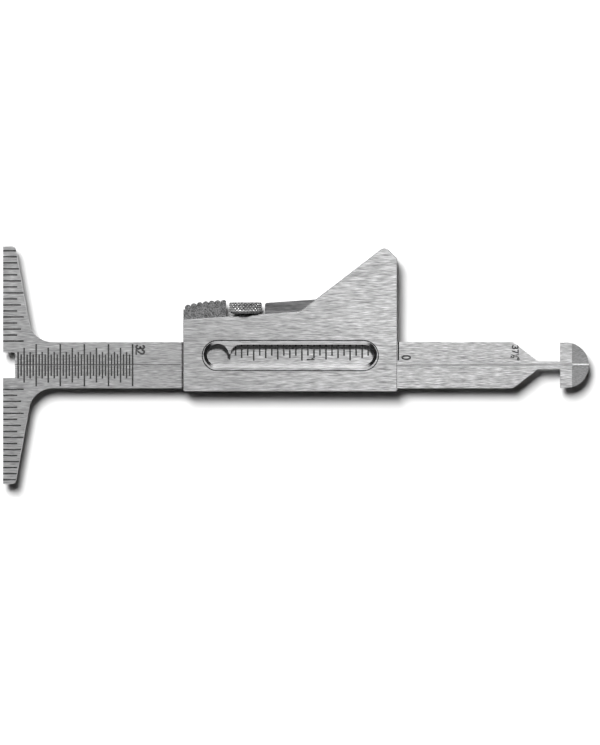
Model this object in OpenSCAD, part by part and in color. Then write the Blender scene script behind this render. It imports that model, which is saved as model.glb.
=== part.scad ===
// Hi-lo gauge for pipe welds: two slides with T feet and hooks, side by side in one riveted body.
// X runs along the slides towards the hooks, Y across them towards the wing, Z out of the face.
// The origin is on the measuring face (X), on the seam between the slides (Y), on their bed (Z).

/* [Body] */
// Length of the body along the slides
body_l = 56.3; // [53:0.1:60]
// Thickness of the front plate and of the rear plate's floor
plate_t = 1.59; // [1.4:0.01:2]
// Width of the lip that closes the channel under the lower slide
lip_w = 0.72; // [0.5:0.01:1.2]
// Height of the plates' top edge over the seam, at the left end
left_h = 11.95; // [11.5:0.05:13]
// Rise of the plates' top edge towards the wing, in degrees
top_rise = 4; // [3:0.25:5]
// Radius of the plates' outer corners
corner_r = 0.4; // [0.2:0.05:0.8]

/* [Wing] */
// Weld bevel angle of the wing and of the slides' shoulders, in degrees
bevel_angle = 37.5; // [35:0.5:40]
// Height of the measuring face over the seam
nose_h = 28.1; // [26:0.1:30]
// Size of the 45 degree cut over the measuring face
nose_cut = 3.2; // [2.5:0.1:4]
// Radius of the wing's peak
peak_r = 1.6; // [0.8:0.1:2]
// Radius of the hollow where the wing rises from the top edge
knee_r = 1.8; // [1:0.1:18]

/* [Window] */
// Length of the window's opening
window_l = 43.94; // [40:0.01:45]
// Height of the window's opening
window_h = 5.27; // [4.8:0.01:5.6]
// Distance from the measuring face to the opening
window_back = 6.13; // [5.5:0.01:7]
// Height of the opening's lower edge over the seam
window_low = 0.16; // [0.1:0.01:0.4]
// Width of the bevel round the opening
window_bevel_w = 0.85; // [0.5:0.01:1]
// Depth of the bevel round the opening
window_bevel_d = 0.55; // [0.3:0.01:0.8]
// Radius of the round bay at the opening's left end
bay_r = 2.87; // [2.7:0.01:3]
// Distance between the centres of the bay and of the slot's left end
pointer_span = 5.96; // [5.8:0.01:6.4]
// Height of the pointer's tip over the opening's lower edge
pointer_h = 2.8; // [2.5:0.05:3]

/* [Thumb rest] */
// Length of the thumb rest
rest_l = 11.25; // [10.9:0.05:12]
// Height of the thumb rest's crown over the plates' left corner
rest_h = 5.25; // [4.5:0.05:6]
// Height of its left shoulder over the plates' left corner
shoulder_h = 2.75; // [2:0.05:3.2]
// Number of ridges
ridge_count = 7; // [5:1:7]
// Distance from ridge to ridge
ridge_pitch = 1.56; // [1.5:0.01:1.6]
// Radius of each ridge
ridge_r = 0.85; // [0.8:0.01:0.95]
// Radius of the crown that the ridges follow
crown_r = 41; // [38:1:60]

/* [Wedge] */
// Height of the wedge over the plates' top edge
wedge_h = 2.95; // [2:0.05:3.5]

/* [Thumb screw] */
// Width of the pocket that the screw's head stands in
pocket_w = 10.25; // [9.6:0.05:11]
// Diameter of the knurled head
head_d = 8.65; // [8:0.05:9]
// Height of the knurled rim
head_h = 2.35; // [2:0.05:3]
// Height of the bevel under the rim
head_bevel = 0.6; // [0.4:0.05:0.8]
// Number of knurl cuts each way round the rim
knurl_count = 28; // [20:1:32]
// Depth of the knurl
knurl_d = 0.34; // [0.2:0.01:0.4]
// Diameter of the shank
shank_d = 3.5; // [3:0.05:3.8]
// Depth that the screw still has to go before it clamps
clamp_travel = 0.2; // [0.1:0.01:0.3]
// Thickness of the pressure shoe under the screw
shoe_t = 1.2; // [0.8:0.05:1.6]

/* [Slides] */
// Width of each slide across the seam
slide_w = 6.05; // [5.8:0.01:6.3]
// Thickness of the slides
slide_t = 2.38; // [2:0.01:2.8]
// Distance from the measuring face to the outer face of the T feet
foot_reach = 103.8; // [98:0.1:108]
// Distance from the seam to the end of each foot
foot_half = 31.3; // [29:0.1:33]
// Width of each foot at its end
foot_end_w = 3.2; // [2.8:0.05:3.6]
// Taper of the feet, in degrees
foot_taper = 10.2; // [9:0.1:11]
// Radius in the corner between foot and stem
foot_fillet = 6.35; // [5:0.05:7]
// Radius of the outer corner at the end of each foot
foot_corner_r = 0.9; // [0.4:0.05:1.2]
// Depth of the notch between the feet
notch_d = 3.17; // [2.5:0.01:3.5]
// Half width of the notch between the feet
notch_half = 3.36; // [3:0.01:3.8]

/* [Hooks] */
// Distance from the measuring face to the tip of the hooks
hook_reach = 50.6; // [48:0.1:53]
// Radius of the half-moon
hook_r = 5.98; // [5.5:0.01:6]
// Length of the hook behind the half-moon's centre
hook_back = 1.57; // [1.2:0.01:2]
// Length of the bare leg between hook and weld bevel
leg_l = 5.9; // [5.6:0.1:6.5]
// Width of one leg
leg_w = 1; // [0.8:0.01:1.3]
// Length of the bevelled face at the tip
tip_bevel_l = 4.5; // [3.5:0.1:5]
// Depth of the bevelled face at the tip
tip_bevel_d = 0.8; // [0.4:0.05:1.1]
// Width of the bevel on the seam edges
seam_bevel = 0.3; // [0.15:0.01:0.4]
// Depth of the bevel on the seam edges
seam_bevel_d = 0.14; // [0.1:0.01:0.3]

/* [Scales] */
// Width of the engraved lines on the stems
stem_mark_w = 0.33; // [0.25:0.01:0.4]
// Width of the engraved lines on the feet
foot_mark_w = 0.4; // [0.3:0.01:0.5]
// Depth of the engraved lines
mark_d = 0.1; // [0.05:0.01:0.2]
// Distance from the feet's outer face to the zero of the stems' scale
stem_zero = 2.38; // [2.1:0.01:3]
// Distance from the measuring face to the window scale's zero line, which stays in view
window_zero = 0.34; // [0.2:0.01:0.5]

/* [Spring] */
// Length of the bowed leaf that drags on the upper slide
spring_l = 20; // [16:0.1:21]
// Thickness of the leaf
spring_t = 0.25; // [0.2:0.01:0.35]
// Depth of the recess that holds the leaf
recess_d = 0.8; // [0.7:0.01:1]

/* [Rivets] */
// Diameter of the body rivets
rivet_d = 2.38; // [2:0.01:2.6]

/* [Hidden] */
$fn = 96;

// Clearances: beside the slides, at the seam, round the screw and rivets, and under a clamped piece
side_gap = 0.035;
edge_gap = 0.05;
seam_gap = 0.02;
bore_gap = 0.05;
rivet_gap = 0.015;
touch_gap = 0.02;
// Overrun of every cut
cut = 1;

// Heights and depths that follow from the slides
slide_top = seam_gap + slide_w;
channel_top = slide_top + edge_gap;
channel_t = slide_t + 2 * side_gap;
body_low = channel_top + lip_w;
mid_z = channel_t / 2;

// Corners of the body's outline
left_x = -body_l;
peak = [-nose_cut, nose_h + nose_cut];
knee = meet([left_x, left_h], top_rise, peak, bevel_angle);
plate_points = [[left_x, -body_low], [0, -body_low], [0, nose_h], peak, knee, [left_x, left_h]];
plate_radii = [corner_r, corner_r, corner_r, peak_r, knee_r, corner_r];

// 45 degree break on the plates' outer edges, and its overrun
edge_break = corner_r / 2;
edge_run = corner_r / 8;

// The screw stands in the middle of the pocket
screw_x = left_x + rest_l + pocket_w / 2;
wedge_x = left_x + rest_l + pocket_w;
wedge_corner = 0.35;
wedge_run = 0.6;
pocket_floor_drop = 0.15;
pocket_floor = top_edge(screw_x) - pocket_floor_drop;
head_foot_r = head_d / 2 - head_bevel * 1.4;
head_top_bevel = 0.25;
knurl_lean = 45;
knurl_second_share = 0.88;
head_low = top_edge(screw_x + head_foot_r) + clamp_travel + edge_gap;
shoe_low = slide_top + clamp_travel + edge_gap;
bore_r = shank_d / 2 + bore_gap;
drill_run = 0.3;

// The hooks' places along the slides
shoulder_x = hook_reach - hook_r - hook_back;
leg_top = seam_gap + leg_w;
bevel_foot_x = shoulder_x - leg_l;
bevel_top_x = bevel_foot_x - (slide_top - leg_top) / tan(bevel_angle);
foot_root_x = foot_end_w - foot_reach + (foot_half - slide_top) * tan(foot_taper);
leg_fillet = 0.5;
seam_bevel_back = 10;

// The scales: real inch fractions, their first and last lines, and the lengths of the lines as
// shares of the slide's width, or of the foot's end width, from the plainest line to the longest
inch = 25.4;
fine_pitch = inch / 32;
coarse_pitch = inch / 16;
stem_marks = [2, 40];
window_marks = [0, 28];
foot_marks = [4, 19];
stem_mark_share = [0.47, 0.58, 0.76, 0.92];
window_mark_share = [0.585, 0.69, 0.755, 0.8];
foot_mark_share = [1.17, 1.48, 1.7, 1.7];
slide_face = side_gap + slide_t;

// The leaf lies in the filler between the screw and the measuring face
spring_mid_x = screw_x / 2;
recess_room = 0.4;
spring_low = slide_top + touch_gap;
spring_rise = channel_top + recess_d - touch_gap - spring_low - spring_t;
spring_r = (spring_l * spring_l / 4 + spring_rise * spring_rise) / (2 * spring_rise);
spring_side_gap = 0.12;

// Rivets: shares of the body's length from its left end, and of the height over the channel
rivet_along_share = [0.09, 0.43, 0.68, 0.93, 0.9];
rivet_height_share = [0.5, 0.5, 0.5, 0.28, 0.7];

// Engraved line round the window
outline_gap = 1.2;
outline_drop = 0.25;
outline_w = 0.28;
outline_d = 0.12;
outline_r = window_h / 2 + outline_gap + outline_w / 2;

// Where two lines meet, each given by a point and its direction in degrees
function meet(p, a, q, b) =
    let (u = [cos(a), sin(a)], v = [cos(b), sin(b)])
    let (s = ((q.x - p.x) * v.y - (q.y - p.y) * v.x) / (u.x * v.y - u.y * v.x))
    p + s * u;

// Height of the plates' top edge at a place along the body
function top_edge(x) = left_h + (x - left_x) * tan(top_rise);

// Height of the body's outline at a place along it
function outline_top(x) = min(top_edge(max(x, left_x)) + max(0, (x - knee.x)) * body_l,
                              peak.y + (x - peak.x) * tan(bevel_angle) + max(0, knee.x - x) * body_l);

// One corner of an outline: its tangent points, its centre and whether it bulges
function corner_of(points, i, r) =
    let (n = len(points), p = points[i])
    let (a = points[(i + n - 1) % n] - p, b = points[(i + 1) % n] - p)
    let (u = a / norm(a), v = b / norm(b), half = acos(u * v) / 2)
    let (reach = r / tan(half), bisector = (u + v) / norm(u + v))
    [p + u * reach, p + v * reach, p + bisector * r / sin(half), cross(b, a) > 0];

// An outline, counter-clockwise, with a radius at each corner
module rounded_outline(points, radii) {
    all_corners = [for (i = [0 : len(points) - 1]) i];
    round_corners = [for (i = all_corners) if (radii[i] > 0) i];
    difference() {
        polygon([
            for (i = all_corners)
                each radii[i] > 0
                    ? [corner_of(points, i, radii[i])[0], corner_of(points, i, radii[i])[1]]
                    : [points[i]]
        ]);
        for (i = round_corners)
            if (!corner_of(points, i, radii[i])[3])
                translate(corner_of(points, i, radii[i])[2]) circle(r = radii[i]);
    }
    for (i = round_corners)
        if (corner_of(points, i, radii[i])[3])
            translate(corner_of(points, i, radii[i])[2]) circle(r = radii[i]);
}

// A slot with round ends, from one centre to the other
module round_slot(x0, x1, y, r) {
    translate([x0, y]) circle(r = r);
    translate([x1, y]) circle(r = r);
    translate([x0, y - r]) square([x1 - x0, 2 * r]);
}

module plate_outline() {
    rounded_outline(plate_points, plate_radii);
}

function plate_corner(i) = corner_of(plate_points, i, plate_radii[i]);

// Breaks a plate's outer edge at height 0: a prism along each side and a cone round each corner
module edge_breaks() {
    count = len(plate_points);
    for (i = [0 : count - 1]) {
        side_break(plate_corner(i), plate_corner((i + 1) % count));
        translate(plate_corner(i)[2]) corner_break(plate_corner(i), plate_radii[i]);
    }
}

// From one corner to the next; it runs on a little where the outline bulges
module side_break(from, to) {
    side = to[0] - from[1];
    run_from = from[3] ? edge_run : 0;
    run_to = to[3] ? edge_run : 0;
    translate(from[1]) rotate([90, 0, 90 + atan2(side.y, side.x)]) translate([0, 0, -run_from])
        linear_extrude(norm(side) + run_from + run_to)
            polygon([
                [-edge_break, -2 * edge_break],
                [2 * edge_break, edge_break],
                [-edge_break, edge_break]
            ]);
}

module corner_break(corner, r) {
    low = -edge_break - edge_run;
    if (corner[3])
        intersection() {
            rotate_extrude() polygon([[r + low, edge_run], [r + edge_run, low], [r + edge_run, edge_run]]);
            translate([0, 0, 2 * low]) linear_extrude(-3 * low)
                polygon([[0, 0], 4 * (corner[0] - corner[2]), 4 * (corner[1] - corner[2])]);
        }
    else
        rotate_extrude() polygon([[r - edge_run, low], [r - low, edge_run], [r - edge_run, edge_run]]);
}

// The pointer is what two round bays leave between them
module window_opening() {
    slot_r = window_h / 2;
    mid_y = window_low + slot_r;
    bay_x = bay_r - window_back - window_l;
    slot_x = bay_x + pointer_span;
    intersection() {
        union() {
            round_slot(slot_x, -window_back - slot_r, mid_y, slot_r);
            translate([bay_x, window_low + bay_r - outline_drop]) circle(r = bay_r);
            translate([bay_x, window_low]) square([pointer_span, pointer_h]);
        }
        translate([bay_x - bay_r - cut, window_low]) square([window_l + 2 * cut, bay_r * 2]);
    }
}

// Bevel round the window: a cone at each end and a straight trough between them
module window_bevel() {
    slot_r = window_h / 2;
    wide_r = slot_r + window_bevel_w;
    mid_y = window_low + slot_r;
    x0 = slot_r - window_back - window_l;
    x1 = -window_back - slot_r;
    spread = window_bevel_w / window_bevel_d;
    translate([0, 0, channel_t + plate_t - window_bevel_d]) {
        for (x = [x0, x1])
            translate([x, mid_y, 0]) cylinder(r1 = slot_r, r2 = wide_r, h = window_bevel_d);
        translate([x0, mid_y, 0]) rotate([90, 0, 90]) linear_extrude(x1 - x0)
            polygon([
                [-slot_r, 0],
                [slot_r, 0],
                [wide_r, window_bevel_d],
                [wide_r, window_bevel_d + cut],
                [-wide_r, window_bevel_d + cut],
                [-wide_r, window_bevel_d]
            ]);
    }
}

module window_line() {
    mid_y = window_low + window_h / 2 - outline_drop;
    x0 = outline_r - outline_gap - window_back - window_l;
    x1 = outline_gap - outline_r - window_back;
    translate([0, 0, channel_t + plate_t - outline_d]) linear_extrude(cut) difference() {
        round_slot(x0, x1, mid_y, outline_r + outline_w / 2);
        round_slot(x0, x1, mid_y, outline_r - outline_w / 2);
    }
}

// Bore for the screw and its shoe, from the channel up through the pocket's floor
module screw_bore() {
    translate([screw_x, channel_top - drill_run, mid_z]) rotate([-90, 0, 0])
        cylinder(r = bore_r, h = pocket_floor + cut - channel_top + drill_run);
}

function rivet_place(i) =
    let (x = left_x + body_l * rivet_along_share[i])
    [x, channel_top + (outline_top(x) - channel_top) * rivet_height_share[i]];

module rivet_shanks(r, low, high) {
    for (i = [0 : len(rivet_along_share) - 1])
        translate([rivet_place(i).x, rivet_place(i).y, low]) cylinder(r = r, h = high - low);
}

module rivet_holes() {
    rivet_shanks(rivet_d / 2 + rivet_gap, -plate_t - cut, channel_t + plate_t + cut);
}

module front_plate() {
    color([0.76, 0.76, 0.77]) difference() {
        translate([0, 0, channel_t]) linear_extrude(plate_t) difference() {
            plate_outline();
            window_opening();
        }
        translate([0, 0, channel_t + plate_t]) edge_breaks();
        window_bevel();
        window_line();
        screw_bore();
        rivet_holes();
    }
}

module rear_plate() {
    color([0.72, 0.72, 0.73]) difference() {
        union() {
            translate([0, 0, -plate_t]) linear_extrude(plate_t) plate_outline();
            linear_extrude(channel_t) intersection() {
                plate_outline();
                translate([left_x, -body_low]) square([body_l, lip_w]);
            }
        }
        translate([0, 0, -plate_t]) mirror([0, 0, 1]) edge_breaks();
        screw_bore();
        rivet_holes();
    }
}

// Ridge centres follow the crown, which is level at its right end
function ridge_x(i) = left_x + rest_l - (ridge_count - 1 - i + 0.42) * ridge_pitch;
function crown_y(x) =
    left_h + rest_h - crown_r + sqrt(pow(crown_r, 2) - pow(x - left_x - rest_l, 2));

module thumb_rest() {
    last = ridge_count - 1;
    rest_x = left_x + rest_l;
    color([0.45, 0.45, 0.46]) difference() {
        linear_extrude(channel_t) {
            polygon([
                [left_x, channel_top],
                [screw_x, channel_top],
                [screw_x, pocket_floor],
                [rest_x, pocket_floor],
                [rest_x, crown_y(rest_x) - ridge_r],
                for (i = [last : -1 : 0]) [ridge_x(i), crown_y(ridge_x(i)) - ridge_r],
                [ridge_x(0) - ridge_r / 2, left_h + shoulder_h],
                [left_x, left_h + shoulder_h]
            ]);
            intersection() {
                for (i = [0 : last])
                    translate([ridge_x(i), crown_y(ridge_x(i)) - ridge_r]) circle(r = ridge_r);
                translate([left_x, channel_top]) square([rest_l, foot_half]);
            }
        }
        screw_bore();
        rivet_holes();
    }
}

module wing_filler() {
    wedge_end = meet([left_x, left_h + wedge_h], top_rise, peak, bevel_angle)
                + wedge_run * [cos(top_rise), sin(top_rise)];
    wedge_top = top_edge(wedge_x) + wedge_h;
    color([0.5, 0.5, 0.51]) difference() {
        linear_extrude(channel_t) {
            intersection() {
                plate_outline();
                translate([wedge_x, channel_top]) square([-wedge_x, peak.y]);
            }
            polygon([
                [screw_x, channel_top],
                [knee.x, channel_top],
                wedge_end,
                [wedge_x + wedge_corner, top_edge(wedge_x + wedge_corner) + wedge_h],
                [wedge_x, wedge_top - wedge_corner],
                [wedge_x, pocket_floor],
                [screw_x, pocket_floor]
            ]);
        }
        translate([spring_mid_x - spring_l / 2 - recess_room, channel_top - cut, -cut])
            cube([spring_l + 2 * recess_room, recess_d + cut, channel_t + 2 * cut]);
        screw_bore();
        rivet_holes();
    }
}

module body_rivets() {
    color([0.74, 0.74, 0.75]) rivet_shanks(rivet_d / 2, -plate_t, channel_t + plate_t);
}

// A leaf bowed down onto the upper slide's edge, with its ends against the recess
module drag_spring() {
    color([0.6, 0.6, 0.58])
        translate([spring_mid_x, 0, spring_side_gap]) linear_extrude(channel_t - 2 * spring_side_gap)
            intersection() {
                difference() {
                    translate([0, spring_low + spring_r]) circle(r = spring_r, $fn = 360);
                    translate([0, spring_low + spring_r]) circle(r = spring_r - spring_t, $fn = 360);
                }
                translate([-spring_l / 2, spring_low - cut])
                    square([spring_l, cut + spring_t + spring_rise]);
            }
}

// The upper slide's outline: stem, T foot, weld bevel, leg and half-moon hook
module slide_outline() {
    rounded_outline(
        [
            [notch_d - foot_reach, seam_gap],
            [shoulder_x, seam_gap],
            [shoulder_x, leg_top],
            [bevel_foot_x, leg_top],
            [bevel_top_x, slide_top],
            [foot_root_x, slide_top],
            [foot_end_w - foot_reach, foot_half],
            [-foot_reach, foot_half],
            [-foot_reach, notch_half],
            [notch_d - foot_reach, notch_half]
        ],
        [0, 0, 0, leg_fillet, 0, foot_fillet, foot_corner_r, 0, 0, 0]
    );
    intersection() {
        union() {
            translate([hook_reach - hook_r, 0]) circle(r = hook_r);
            translate([shoulder_x, 0]) square([hook_back, hook_r]);
        }
        translate([shoulder_x, seam_gap]) square([hook_reach, slide_w]);
    }
}

// Longer lines mark the larger fractions: 0 for the shortest line, 3 for the longest
function mark_rank(k) = k % 8 == 0 ? 3 : k % 4 == 0 ? 2 : k % 2 == 0 ? 1 : 0;

// Lines across the stem, counted from near the T's outer face and starting at the seam
module stem_scale() {
    for (k = [stem_marks[0] : stem_marks[1]])
        translate([stem_zero - foot_reach + k * fine_pitch - stem_mark_w / 2, 0, slide_face - mark_d])
            cube([stem_mark_w, slide_w * stem_mark_share[mark_rank(k)], mark_d + cut]);
}

// Lines in from the foot's outer face, counted from the seam
module foot_scale() {
    for (k = [foot_marks[0] : foot_marks[1]])
        translate([-foot_reach - cut, k * coarse_pitch - foot_mark_w / 2, slide_face - mark_d])
            cube([foot_end_w * foot_mark_share[mark_rank(k)] + cut, foot_mark_w, mark_d + cut]);
}

// Lines down from the stem's outer edge, counted back from the measuring face
module window_scale() {
    for (k = [window_marks[0] : window_marks[1]])
        let (line_l = slide_w * window_mark_share[mark_rank(k)])
            translate([
                window_zero - k * coarse_pitch - stem_mark_w / 2,
                slide_top - line_l,
                slide_face - mark_d
            ])
                cube([stem_mark_w, line_l + cut, mark_d + cut]);
}

module slide_body() {
    difference() {
        translate([0, 0, side_gap]) linear_extrude(slide_t) slide_outline();
        stem_scale();
        foot_scale();
        translate([hook_reach, slide_top + cut, slide_face]) rotate([90, 0, 0])
            linear_extrude(slide_top + 2 * cut)
                polygon([
                    [-tip_bevel_l, 0],
                    [0, -tip_bevel_d],
                    [cut, -tip_bevel_d],
                    [cut, cut],
                    [-tip_bevel_l, cut]
                ]);
        translate([-seam_bevel_back, seam_gap, slide_face]) rotate([90, 0, 90])
            linear_extrude(seam_bevel_back + hook_reach + cut)
                polygon([
                    [-cut, -seam_bevel_d],
                    [0, -seam_bevel_d],
                    [seam_bevel, 0],
                    [seam_bevel, cut],
                    [-cut, cut]
                ]);
    }
}

module upper_slide() {
    color([0.68, 0.68, 0.69]) difference() {
        slide_body();
        window_scale();
    }
}

module lower_slide() {
    color([0.66, 0.66, 0.67]) mirror([0, 1, 0]) slide_body();
}

// Straight V cuts that lean one way across the rim
module knurl_cuts(lean, depth) {
    rim_mid = head_low + head_bevel + head_h / 2;
    for (i = [1 : knurl_count])
        rotate([0, 0, i * 360 / knurl_count]) translate([head_d / 2, 0, rim_mid])
            rotate([lean, 0, 0]) linear_extrude(head_d, center = true)
                polygon([[-depth, 0], [cut, -depth - cut], [cut, depth + cut]]);
}

// One turned piece: shank, bevel, rim and a broken top edge, revolved about the screw's axis
module thumb_screw() {
    shank_low = shoe_low + shoe_t + touch_gap;
    rim_low = head_low + head_bevel;
    rim_top = rim_low + head_h;
    head_r = head_d / 2;
    color([0.7, 0.7, 0.71]) translate([screw_x, 0, mid_z]) rotate([-90, 0, 0]) difference() {
        rotate_extrude()
            polygon([
                [0, shank_low],
                [shank_d / 2, shank_low],
                [shank_d / 2, head_low],
                [head_foot_r, head_low],
                [head_r, rim_low],
                [head_r, rim_top - head_top_bevel],
                [head_r - head_top_bevel, rim_top],
                [0, rim_top]
            ]);
        knurl_cuts(knurl_lean, knurl_d);
        knurl_cuts(-knurl_lean, knurl_d * knurl_second_share);
    }
}

module pressure_shoe() {
    color([0.78, 0.62, 0.32]) translate([screw_x, shoe_low, mid_z]) rotate([-90, 0, 0])
        cylinder(d = shank_d, h = shoe_t);
}

front_plate();
rear_plate();
thumb_rest();
wing_filler();
body_rivets();
upper_slide();
lower_slide();
thumb_screw();
pressure_shoe();
drag_spring();
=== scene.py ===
import math

import bmesh
import bpy
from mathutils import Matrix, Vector


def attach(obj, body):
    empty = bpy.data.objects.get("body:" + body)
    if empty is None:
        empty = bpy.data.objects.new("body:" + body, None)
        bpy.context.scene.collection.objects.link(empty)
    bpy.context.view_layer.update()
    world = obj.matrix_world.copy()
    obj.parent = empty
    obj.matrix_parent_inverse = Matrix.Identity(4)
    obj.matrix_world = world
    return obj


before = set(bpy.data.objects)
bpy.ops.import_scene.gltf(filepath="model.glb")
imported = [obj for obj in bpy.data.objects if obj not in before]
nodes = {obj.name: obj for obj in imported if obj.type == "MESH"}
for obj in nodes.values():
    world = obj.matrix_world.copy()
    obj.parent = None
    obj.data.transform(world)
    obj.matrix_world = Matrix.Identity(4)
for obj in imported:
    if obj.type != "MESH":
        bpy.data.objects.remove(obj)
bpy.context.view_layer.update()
mm = 0.001
print("frame loaded with", len(nodes), "pieces")


class Wire:
    # one socket's value, so that shader maths reads as plain sums
    def __init__(self, finish, socket):
        self.finish = finish
        self.socket = socket

    def sum(self, operation, *values):
        return self.finish.node("ShaderNodeMath", {"operation": operation}, values)

    def __add__(self, other):
        return self.sum("ADD", self, other)

    def __radd__(self, other):
        return self.sum("ADD", other, self)

    def __sub__(self, other):
        return self.sum("SUBTRACT", self, other)

    def __rsub__(self, other):
        return self.sum("SUBTRACT", other, self)

    def __mul__(self, other):
        return self.sum("MULTIPLY", self, other)

    def __rmul__(self, other):
        return self.sum("MULTIPLY", other, self)

    def __truediv__(self, other):
        return self.sum("DIVIDE", self, other)

    def __pow__(self, other):
        return self.sum("POWER", self, other)

    def __gt__(self, other):
        return self.sum("GREATER_THAN", self, other)

    def __lt__(self, other):
        return self.sum("LESS_THAN", self, other)

    def __abs__(self):
        return self.sum("ABSOLUTE", self)

    def rounded(self):
        return self.sum("ROUND", self)

    def sine(self):
        return self.sum("SINE", self)

    def atMost(self, other):
        return self.sum("MINIMUM", self, other)

    def asShare(self):
        # held between 0 and 1
        return self.sum("MAXIMUM", self, 0.0).atMost(1.0)

    def between(self, low, high):
        return (self > low) * (self < high)


class Finish:
    # one node tree, for a material or for the surroundings
    def __init__(self, owner):
        owner.use_nodes = True
        self.owner = owner
        self.tree = owner.node_tree
        self.tree.nodes.clear()

    def node(self, kind, settings=None, values=None, output=0):
        made = self.tree.nodes.new(kind)
        for key, value in (settings or {}).items():
            setattr(made, key, value)
        pairs = values.items() if isinstance(values, dict) else enumerate(values or [])
        for key, value in pairs:
            if isinstance(value, Wire):
                self.tree.links.new(value.socket, made.inputs[key])
            else:
                made.inputs[key].default_value = value
        return Wire(self, made.outputs[output])

    def place(self):
        return self.node("ShaderNodeTexCoord", output="Object")

    def facing(self):
        return self.node("ShaderNodeNewGeometry", output="True Normal")

    def axes(self, vector):
        return [self.node("ShaderNodeSeparateXYZ", None, [vector], axis) for axis in (0, 1, 2)]

    def grain(self, place, stretch, seed, detail=2.0, rough=0.5):
        # noise whose features are about 1/stretch metres long along each axis, centred on 0
        spread = self.node("ShaderNodeVectorMath", {"operation": "MULTIPLY"}, [place, stretch])
        return self.node(
            "ShaderNodeTexNoise", {"noise_dimensions": "4D"},
            {"Vector": spread, "W": seed, "Scale": 1.0, "Detail": detail, "Roughness": rough}) - 0.5

    def tint(self, share, low, high):
        return self.node("ShaderNodeMix", {"data_type": "RGBA"}, {0: share, 6: low, 7: high}, 2)

    def bump(self, height, depth):
        values = {"Height": height, "Distance": depth, "Strength": 1.0}
        return self.node("ShaderNodeBump", None, values, "Normal")

    def surface(self, values):
        shader = self.node("ShaderNodeBsdfPrincipled", None, values)
        out = self.tree.nodes.new("ShaderNodeOutputMaterial")
        self.tree.links.new(shader.socket, out.inputs["Surface"])
        return self.owner


def newFinish(name):
    return Finish(bpy.data.materials.new(name))


def wear(*nodeNames, finish):
    for name in nodeNames:
        for slot in nodes[name].material_slots:
            slot.material = finish


def newPiece(name, mesh):
    data = bpy.data.meshes.new(name)
    mesh.to_mesh(data)
    mesh.free()
    made = bpy.data.objects.new(name, data)
    bpy.context.scene.collection.objects.link(made)
    return made


# the brushing's layers: the look's own key, the step of its seed, the noise's detail
brushLayers = [("fineBrush", 0, 2.0), ("hairBrush", 3, 3.0), ("bandBrush", 7, 1.0), ("smudge", 11, 3.0)]

# the slides' brushed steel, from which the other brushed pieces differ in a few values
slideLook = {
    "seed": 2.0, "dark": (0.26, 0.26, 0.262, 1), "light": (0.98, 0.98, 0.984, 1), "specular": 0.1,
    "fineBrush": (150, 6200, 6200), "fineStreak": 1.1, "hairBrush": (430, 6600, 6600), "hairStreak": 2.0,
    "bandBrush": (30, 1900, 1900), "bandStreak": 0.22, "smudge": (45, 160, 160), "smudgeShare": 0.25,
    "roughness": 0.84, "roughStreak": 0.03, "roughSmudge": 0.06,
    "brushDepth": 0.0008 * mm, "fineDepth": 0.6,
    "sloped": (0.25, 0.995), "bevelSmooth": 0.1, "bevelPaintedShade": 0.68,  # chamfers, told by how far they face up
    "seamEdge": 0.2 * mm, "seamPaintedGlint": 0.5, "seamRough": 0.1,         # the two edges along the seam
    "shadeReach": -50 * mm, "paintedShadeToLeft": 0.31,                         # painted shade, darker towards the feet
}

# the black paint in the engraved lines
paintLook = {"seed": 5.0, "grain": (2500, 2500, 2500), "contrast": 2.0, "roughness": 0.62,
             "dark": (0.012, 0.012, 0.012, 1), "light": (0.035, 0.035, 0.035, 1)}


def brushedSteel(name, look, fill=None):
    # fill gives the mask of what is filled with black paint, from the axes and the facing; on the slides it
    # also lays painted shade along the seam
    steel = newFinish(name)
    place = steel.place()
    x, y, z = steel.axes(place)
    facing = steel.axes(steel.facing())
    fine, hair, band, smudge = [
        steel.grain(place, look[brush], look["seed"] + step, detail) for brush, step, detail in brushLayers]
    streak = fine * look["fineStreak"] + hair * look["hairStreak"] + band * look["bandStreak"]
    # milled chamfers are smoother than the flats and darkened with painted shade, but the upper seam edge
    # gets a painted highlight and the lower one is rougher
    sloped = facing[2].between(*look["sloped"])
    upperEdge = sloped * (abs(y - look["seamEdge"]) < look["seamEdge"])
    lowerEdge = sloped * (abs(y + look["seamEdge"]) < look["seamEdge"])
    share = (0.5 + streak + smudge * look["smudgeShare"]).asShare()
    share = share * (1 - (sloped - upperEdge) * look["bevelPaintedShade"]) + upperEdge * look["seamPaintedGlint"]
    # painted shade, darker towards the left end
    share = share * (1 - (x / look["shadeReach"]).asShare() * look["paintedShadeToLeft"])
    colour = steel.tint(share, look["dark"], look["light"])
    roughness = look["roughness"] - streak * look["roughStreak"] + smudge * look["roughSmudge"]
    roughness = roughness * (1 - sloped * look["bevelSmooth"]) + lowerEdge * look["seamRough"]
    metal = 1.0
    if fill is not None:
        paint = fill(x, y, z, facing)
        uneven = steel.grain(place, paintLook["grain"], paintLook["seed"])
        blackShare = (0.5 + uneven * paintLook["contrast"]).asShare()
        black = steel.tint(blackShare, paintLook["dark"], paintLook["light"])
        colour = steel.tint(paint, colour, black)
        roughness = roughness * (1 - paint) + paint * paintLook["roughness"]
        metal = 1 - paint
    return steel.surface({
        "Base Color": colour, "Roughness": roughness, "Metallic": metal,
        "Specular IOR Level": look["specular"],
        "Normal": steel.bump(fine * look["fineDepth"] + hair, look["brushDepth"])})


# where the engraved scales are on the slides
scaleLook = {
    "face": 2.415 * mm, "depth": 0.1 * mm, "under": (1.3, 0.08), "skin": 0.01 * mm,
    "floorFrom": 0.99, "wallFrom": 0.9, "scalesEnd": 5.0 * mm,
    "stemHalf": 6.07 * mm, "stemFrom": -100.5 * mm, "footSpan": (6.2 * mm, 30.9 * mm), "footRoot": -95.0 * mm,
}

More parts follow.
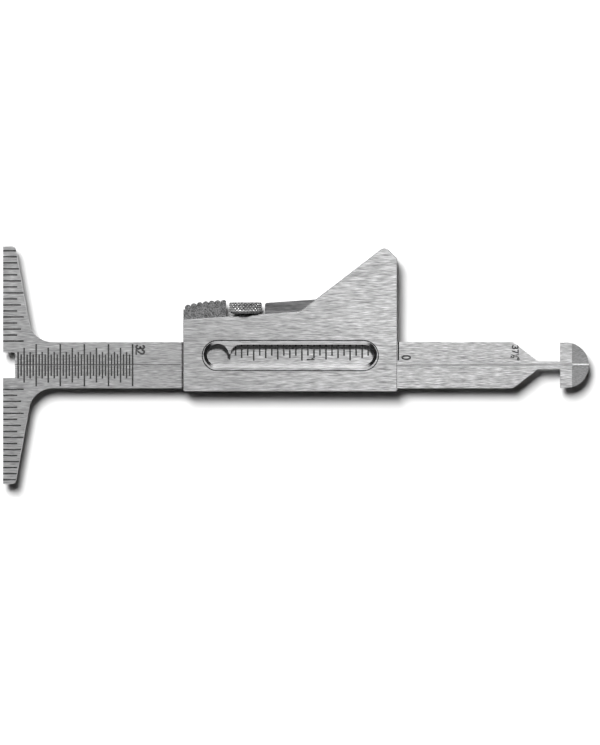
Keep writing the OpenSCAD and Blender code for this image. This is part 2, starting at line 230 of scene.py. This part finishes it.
# how far the paint spreads round each line, in mm: start is the first line's place, way the direction of
# counting, and shares the reach over the slide's width of every line and every 2nd, 4th and 8th one
spreadLook = {
    "wide": 0.42, "slideWidth": 6.05, "past": 0.1,
    "scales": [
        {"start": -101.42, "way": 1, "pitch": 0.79375, "first": 2, "last": 40, "fromSeam": True,
         "shares": (0.47, 0.58, 0.76, 0.92)},
        {"start": 0.34, "way": -1, "pitch": 1.5875, "first": 0, "last": 28, "fromSeam": False,
         "shares": (0.585, 0.69, 0.755, 0.8)},
    ],
}

# painted shade: the dark seam line between the slides on their left part
seamShadeLook = {"across": (0.02 * mm, 0.28 * mm), "end": -57.0 * mm, "deep": 0.3 * mm, "shade": 0.9}


def lineReach(count, shares):
    # longer lines mark the larger fractions
    def isEach(number):
        part = count / number
        return abs(part - part.rounded()) < 0.01

    steps = [longer - shorter for shorter, longer in zip(shares, shares[1:])]
    return shares[0] + isEach(2) * steps[0] + isEach(4) * steps[1] + isEach(8) * steps[2]


def paintSpread(x, y):
    spreads = []
    for scale in spreadLook["scales"]:
        along = (x - scale["start"] * mm) * scale["way"] / (scale["pitch"] * mm)
        count = along.rounded()
        near = abs(along - count) * scale["pitch"] < spreadLook["wide"] / 2
        inside = count.between(scale["first"] - 0.5, scale["last"] + 0.5)
        fromEdge = abs(y) if scale["fromSeam"] else spreadLook["slideWidth"] * mm - y
        reach = lineReach(count, scale["shares"]) * spreadLook["slideWidth"]
        spreads.append(near * inside * fromEdge.between(-spreadLook["past"] * mm, reach * mm))
    return spreads[0] + spreads[1]


def slideMarksAndSeamShade(x, y, z, facing):
    # the engraved floors lie just under the face; their walls are told apart by where they are
    deepest, shallowest = [scaleLook["face"] - scaleLook["depth"] * part for part in scaleLook["under"]]
    floors = facing[2] > scaleLook["floorFrom"]
    onStem = (abs(y) < scaleLook["stemHalf"]) * (x > scaleLook["stemFrom"])
    onFoot = abs(y).between(*scaleLook["footSpan"]) * (x < scaleLook["footRoot"])
    stemWalls = onStem * (abs(facing[0]) > scaleLook["wallFrom"])
    footWalls = onFoot * (abs(facing[1]) > scaleLook["wallFrom"])
    inScales = z.between(deepest, shallowest) * (x < scaleLook["scalesEnd"])
    engraved = inScales * (floors + stemWalls + footWalls)
    spread = paintSpread(x, y) * floors * (z > scaleLook["face"] - scaleLook["skin"])
    # painted shade along the seam between the slides, laid with the black paint
    nearFace = z > scaleLook["face"] - seamShadeLook["deep"]
    onSeamShade = y.between(*seamShadeLook["across"]) * (x < seamShadeLook["end"]) * nearFace
    return (engraved + spread + onSeamShade * seamShadeLook["shade"]).atMost(1.0)


wear("upper_slide", finish=brushedSteel("upperSlideSteel", slideLook, slideMarksAndSeamShade))
wear("lower_slide", finish=brushedSteel("lowerSlideSteel", dict(slideLook, seed=31.0), slideMarksAndSeamShade))
print("slides finished")

# the plates' brushed steel, with lighter painted shade on the window's chamfers and painted shade towards the
# body's left end
plateLook = dict(
    slideLook, seed=57.0, dark=(0.31, 0.31, 0.312, 1), light=(0.98, 0.98, 0.984, 1), roughness=0.84,
    bevelSmooth=0.83, bevelPaintedShade=0.35, seamEdge=0.0, paintedShadeToLeft=0.32)

# the engraved line round the window: its box, and how far its floor and its walls face up
windowLook = {"x": (-52.5 * mm, -3.6 * mm), "y": (-2.2 * mm, 7.4 * mm), "z": (3.91 * mm, 4.03 * mm),
              "floorFrom": 0.99, "wallTo": 0.1}


def windowLine(x, y, z, facing):
    inBox = x.between(*windowLook["x"]) * y.between(*windowLook["y"]) * z.between(*windowLook["z"])
    floors = facing[2] > windowLook["floorFrom"]
    walls = abs(facing[2]) < windowLook["wallTo"]
    return inBox * (floors + walls)


wear("front_plate", "rear_plate", "body_rivets", finish=brushedSteel("plateSteel", plateLook, windowLine))
print("plates finished")

restLook = {
    "dark": (0.04, 0.04, 0.041, 1), "light": (0.33, 0.33, 0.333, 1), "middle": 0.45,
    "grit": (3400, 3400, 3400), "gritShare": 2.4, "pits": (1500, 1500, 1500), "pitDepth": 0.6,
    "roughness": 0.76, "roughPits": 0.25, "metallic": 0.85, "depth": 0.014 * mm,
}


def blastedSteel():
    steel = newFinish("blastedSteel")
    place = steel.place()
    grit = steel.grain(place, restLook["grit"], 4.0, 3.0, 0.6)
    pits = steel.grain(place, restLook["pits"], 9.0)
    share = (restLook["middle"] + grit * restLook["gritShare"] + pits).asShare()
    return steel.surface({
        "Base Color": steel.tint(share, restLook["dark"], restLook["light"]),
        "Roughness": restLook["roughness"] + pits * restLook["roughPits"], "Metallic": restLook["metallic"],
        "Normal": steel.bump(grit + pits * restLook["pitDepth"], restLook["depth"])})


wear("thumb_rest", finish=blastedSteel())

fillerLook = dict(
    slideLook, seed=83.0, dark=(0.10, 0.10, 0.101, 1), light=(0.39, 0.39, 0.394, 1), roughness=0.8,
    fineBrush=(160, 3000, 3000), bandBrush=(40, 900, 900), fineStreak=1.2, bandStreak=0.9)
wear("wing_filler", finish=brushedSteel("milledFillerSteel", fillerLook))

# the knurl's grooves are darkened with painted shade and grime, and the shank below the rim with painted
# shade; the end face shows turning rings
screwLook = {
    "dark": (0.75, 0.75, 0.755, 1), "light": (1.0, 1.0, 1.0, 1), "specular": 0.1,
    "turning": (300, 9000, 300), "speck": (2600, 2600, 2600),
    "middle": 0.55, "turnedShare": 0.9, "speckShare": 0.5, "depth": 0.002 * mm,
    "axisX": -39.925 * mm, "axisZ": 1.225 * mm, "rimLow": 14.3 * mm,
    "grooveRadius": 4.24 * mm, "grooveFade": 0.08 * mm, "grooveFrom": 3.6 * mm,
    "grimeAndShade": (0.012, 0.012, 0.012, 1), "grooveGrimeAndShade": 0.9, "shankShade": 0.75, "grimeAndShadeSpeck": 0.8,
    "endFrom": 0.9, "endTone": (0.22, 0.22, 0.222, 1), "endShade": 0.62,
    "ringPitch": 21000, "ringShade": 0.22,
    "roughness": 0.40, "roughSpeck": 0.1, "roughGrimeAndShade": 0.3, "dullGrimeAndShade": 0.8,
}


def knurledSteel():
    steel = newFinish("turnedScrewSteel")
    look = screwLook
    place = steel.place()
    x, y, z = steel.axes(place)
    fromAxis = ((x - look["axisX"]) ** 2.0 + (z - look["axisZ"]) ** 2.0) ** 0.5
    turned = steel.grain(place, look["turning"], 6.0)
    speck = steel.grain(place, look["speck"], 8.0)
    share = (look["middle"] + turned * look["turnedShare"] + speck * look["speckShare"]).asShare()
    colour = steel.tint(share, look["dark"], look["light"])
    low = 1 - ((fromAxis - look["grooveRadius"]) / look["grooveFade"]).asShare()
    inGrooves = low * (fromAxis > look["grooveFrom"]) * (y > look["rimLow"])
    onShank = y < look["rimLow"]
    # painted shade and grime in the knurl's grooves, painted shade on the shank under the head
    grimeAndShade = (inGrooves * (look["grooveGrimeAndShade"] + speck * look["grimeAndShadeSpeck"])
             + onShank * (look["shankShade"] + speck * look["grimeAndShadeSpeck"])).asShare()
    rings = (fromAxis * look["ringPitch"]).sine()
    onEnd = steel.axes(steel.facing())[1] > look["endFrom"]
    colour = steel.tint(onEnd * (look["endShade"] + rings * look["ringShade"]), colour, look["endTone"])
    return steel.surface({
        "Base Color": steel.tint(grimeAndShade, colour, look["grimeAndShade"]), "Specular IOR Level": look["specular"],
        "Roughness": look["roughness"] + speck * look["roughSpeck"] + grimeAndShade * look["roughGrimeAndShade"],
        "Metallic": 1 - grimeAndShade * look["dullGrimeAndShade"],
        "Normal": steel.bump(turned, look["depth"])})


wear("thumb_screw", finish=knurledSteel())

shoeLook = dict(
    slideLook, seed=97.0, dark=(0.50, 0.36, 0.15, 1), light=(0.80, 0.62, 0.32, 1), roughness=0.35,
    fineBrush=(500, 4000, 500), bandBrush=(200, 900, 200))
wear("pressure_shoe", finish=brushedSteel("turnedBrass", shoeLook))

springLook = dict(
    slideLook, seed=113.0, dark=(0.32, 0.31, 0.28, 1), light=(0.62, 0.61, 0.57, 1), roughness=0.3)
wear("drag_spring", finish=brushedSteel("rolledSpringSteel", springLook))
print("rest, filler, screw, shoe and spring finished")


def arc(cx, cy, rx, ry, start, end, steps=14):
    turns = [math.radians(start + (end - start) * i / steps) for i in range(steps + 1)]
    return [(cx + rx * math.cos(turn), cy + ry * math.sin(turn)) for turn in turns]


# strokes in a box one unit high: across, up
digitStrokes = {
    "0": [arc(0.5, 0.5, 0.5, 0.5, 90, 450, 28)],
    "1": [[(0.5, 0.0), (0.5, 1.0), (0.0, 0.74)]],
    "2": [arc(0.48, 0.72, 0.46, 0.28, 165, -35) + [(0.0, 0.0), (1.0, 0.0)]],
    "3": [arc(0.44, 0.75, 0.46, 0.25, 150, -90), arc(0.44, 0.26, 0.54, 0.26, 90, -150)],
    "7": [[(0.0, 1.0), (1.0, 1.0), (0.35, 0.0)]],
    "slash": [[(0.0, 0.0), (1.0, 1.0)]],
    "ring": [arc(0.5, 0.5, 0.5, 0.5, 0, 360, 16)],
}

# the plain numbers, in mm: each character's foot and head along the slide, its left and right side
# across it, and its line's width
numberLook = {
    "face": 2.415, "proud": 0.012, "sunk": 0.03,
    "mitreFrom": 0.5, "mitreTo": 1.6, "capSteps": 6,
    "numbers": {
        "number_thirty_two": [
            ("3", -68.72, -66.60, 5.18, 4.27, 0.50), ("2", -68.72, -66.60, 3.98, 2.93, 0.50)],
        "number_one": [("1", -23.62, -21.90, 1.78, 1.22, 0.42)],
        "number_zero": [("0", 1.36, 3.51, 2.46, 1.57, 0.44)],
        "number_angle": [
            ("3", 30.40, 31.90, 5.13, 4.32, 0.35), ("7", 30.40, 31.90, 4.01, 3.22, 0.35),
            ("1", 31.35, 32.05, 2.80, 2.55, 0.26), ("slash", 30.25, 32.0, 2.72, 2.10, 0.22),
            ("2", 30.05, 30.80, 2.45, 1.98, 0.26), ("ring", 31.72, 32.18, 1.86, 1.40, 0.26)],
    },
}

numberPaint = {
    "dark": (0.010, 0.010, 0.010, 1), "light": (0.04, 0.04, 0.04, 1), "seed": 3.0,
    "grain": (3000, 3000, 3000), "contrast": 2, "roughness": 0.55, "roughGrain": 0.3, "depth": 0.006 * mm,
}


def roundCap(end, near, width):
    # half a disc past a stroke's end
    outward = (end - near).normalized()
    side = Vector((-outward.y, outward.x))
    steps = numberLook["capSteps"]
    turns = [math.pi * k / steps for k in range(steps, -1, -1)]
    return tuple(end + side * (width / 2 * math.cos(turn)) + outward * (width / 2 * math.sin(turn))
                 for turn in turns)


def strokeSolid(mesh, path, width, low, high):
    # a thin prism along the path, with round ends and mitred corners
    closed = (Vector(path[0]) - Vector(path[-1])).length < 1e-6
    points = [Vector(p) for p in (path[:-1] if closed else path)]
    count = len(points)
    left, right = [], []
    for i, point in enumerate(points):
        back = points[i] - points[i - 1] if closed or i else points[1] - points[0]
        ahead = points[(i + 1) % count] - points[i] if closed or i < count - 1 else back
        back, ahead = back.normalized(), ahead.normalized()
        along = (back + ahead).normalized() if (back + ahead).length > 1e-6 else ahead
        mitre = min(1 / max(along.dot(ahead), numberLook["mitreFrom"]), numberLook["mitreTo"])
        side = Vector((-along.y, along.x)) * (mitre * width / 2)
        left.append(point + side)
        right.append(point - side)
    rings = []
    if not closed:
        rings = [roundCap(points[0], points[1], width), roundCap(points[-1], points[-2], width)]
    spans = [(i, (i + 1) % count) for i in range(count if closed else count - 1)]
    rings += [(left[i], left[j], right[j], right[i]) for i, j in spans]
    for ring in rings:
        top = [mesh.verts.new((p.x, p.y, high)) for p in ring]
        foot = [mesh.verts.new((p.x, p.y, low)) for p in ring]
        mesh.faces.new(top)
        mesh.faces.new(list(reversed(foot)))
        for i in range(len(ring)):
            j = (i + 1) % len(ring)
            mesh.faces.new((top[j], top[i], foot[i], foot[j]))


def blackPaint():
    paint = newFinish("blackMarkFill")
    uneven = paint.grain(paint.place(), numberPaint["grain"], numberPaint["seed"], 3.0)
    share = (0.5 + uneven * numberPaint["contrast"]).asShare()
    return paint.surface({
        "Base Color": paint.tint(share, numberPaint["dark"], numberPaint["light"]),
        "Roughness": numberPaint["roughness"] + uneven * numberPaint["roughGrain"],
        "Normal": paint.bump(uneven, numberPaint["depth"])})


def paintedNumber(name, parts, finish):
    mesh = bmesh.new()
    low = (numberLook["face"] - numberLook["sunk"]) * mm
    high = (numberLook["face"] + numberLook["proud"]) * mm
    for digit, foot, head, left, right, line in parts:
        for stroke in digitStrokes[digit]:
            path = [((foot + up * (head - foot)) * mm, (left + across * (right - left)) * mm)
                    for across, up in stroke]
            strokeSolid(mesh, path, line * mm, low, high)
    bmesh.ops.recalc_face_normals(mesh, faces=mesh.faces)
    made = newPiece(name, mesh)
    made.data.materials.append(finish)
    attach(made, "upper_slide")


numberFinish = blackPaint()
for numberName, parts in numberLook["numbers"].items():
    paintedNumber(numberName, parts, numberFinish)
print("numbers painted")

floorLook = {
    "low": -3.13 * mm, "half": 9.0, "dark": (0.44, 0.44, 0.44, 1), "light": (0.46, 0.46, 0.46, 1),
    "mottle": (12, 12, 12), "seed": 1.0, "roughness": 0.85, "roughMottle": 0.1, "specular": 0.1,
}


def paleFloor():
    mesh = bmesh.new()
    half, low = floorLook["half"], floorLook["low"]
    corners = [(-half, -half, low), (half, -half, low), (half, half, low), (-half, half, low)]
    mesh.faces.new([mesh.verts.new(c) for c in corners])
    made = newPiece("floor", mesh)
    paper = newFinish("palePaper")
    mottle = paper.grain(paper.place(), floorLook["mottle"], floorLook["seed"])
    made.data.materials.append(paper.surface({
        "Base Color": paper.tint((0.5 + mottle).asShare(), floorLook["dark"], floorLook["light"]),
        "Roughness": floorLook["roughness"] + mottle * floorLook["roughMottle"],
        "Specular IOR Level": floorLook["specular"]}))


paleFloor()

# the camera looks straight down on the gauge; tall is the picture's height at the gauge
viewLook = {"middle": (-25.56 * mm, -1.92 * mm), "distance": 1.5, "level": 2.4 * mm, "tall": 0.1963,
            "sensor": 36, "clip": (0.05, 50)}


def photoCamera():
    lens = bpy.data.cameras.new("photoCamera")
    lens.sensor_width = viewLook["sensor"]
    lens.lens = viewLook["sensor"] * viewLook["distance"] / viewLook["tall"]
    lens.clip_start, lens.clip_end = viewLook["clip"]
    made = bpy.data.objects.new("photoCamera", lens)
    made.location = (*viewLook["middle"], viewLook["level"] + viewLook["distance"])
    bpy.context.scene.collection.objects.link(made)
    bpy.context.scene.camera = made


photoCamera()

# the key lamp lights the floor and throws the shadows, and the gloss card is what the metal mirrors
lampLook = {
    "keyLamp": {"place": (-0.54, 0.94, 2.0), "wide": 0.92, "deep": 1.02, "watts": 158.0,
                "onFloor": True, "onGloss": False},
    "glossCard": {"place": (0.10, 0.51, 0.43), "wide": 0.16, "deep": 0.10, "watts": 6.9,
                  "onFloor": False, "onGloss": True},
}


def softLamp(name, place, wide, deep, watts, onFloor, onGloss):
    lamp = bpy.data.lights.new(name, "AREA")
    lamp.shape = "RECTANGLE"
    lamp.size, lamp.size_y = wide, deep
    lamp.energy = watts
    made = bpy.data.objects.new(name, lamp)
    made.location = Vector(place) + Vector((*viewLook["middle"], 0))
    made.rotation_euler = (-Vector(place)).to_track_quat("-Z", "Y").to_euler()
    made.visible_camera = False
    made.visible_diffuse = onFloor
    made.visible_glossy = onGloss
    bpy.context.scene.collection.objects.link(made)


for lampName, facts in lampLook.items():
    softLamp(lampName, **facts)

# seen is what the camera sees, fill what matt surfaces get, and the rest what the metal mirrors:
# dark above, and paler low down on the far and the near side
roomLook = {"seen": 1.0, "fill": 0.008, "glossTop": 0.03, "farSide": 1.15, "nearSide": 1.1,
            "sideFrom": 0.72, "sideSteep": 5, "endShade": 0.4}


def paleRoom():
    world = bpy.data.worlds.new("paleRoom")
    bpy.context.scene.world = world
    room = Finish(world)
    x, y = room.axes(room.node("ShaderNodeTexCoord", output="Generated"))[:2]
    cameraRay = room.node("ShaderNodeLightPath", output="Is Camera Ray")
    glossRay = room.node("ShaderNodeLightPath", output="Is Glossy Ray")
    pastEdge = (abs(y) - roomLook["sideFrom"]) * roomLook["sideSteep"]
    lowDown = (pastEdge - abs(x) * roomLook["endShade"]).asShare()
    side =roomLook["farSide"] + (y < 0.0) * (roomLook["nearSide"] - roomLook["farSide"])
    gloss = roomLook["glossTop"] + lowDown * (side - roomLook["glossTop"])
    level = roomLook["fill"] * (1 - glossRay) + gloss * glossRay
    level = level * (1 - cameraRay) + cameraRay * roomLook["seen"]
    back = room.node("ShaderNodeBackground", None, {"Color": (1, 1, 1, 1), "Strength": level})
    out = room.tree.nodes.new("ShaderNodeOutputWorld")
    room.tree.links.new(back.socket, out.inputs["Surface"])


paleRoom()
bpy.context.scene.view_settings.view_transform = "Standard"
bpy.context.scene.view_settings.look = "None"
print("floor, lamps, camera and room set")
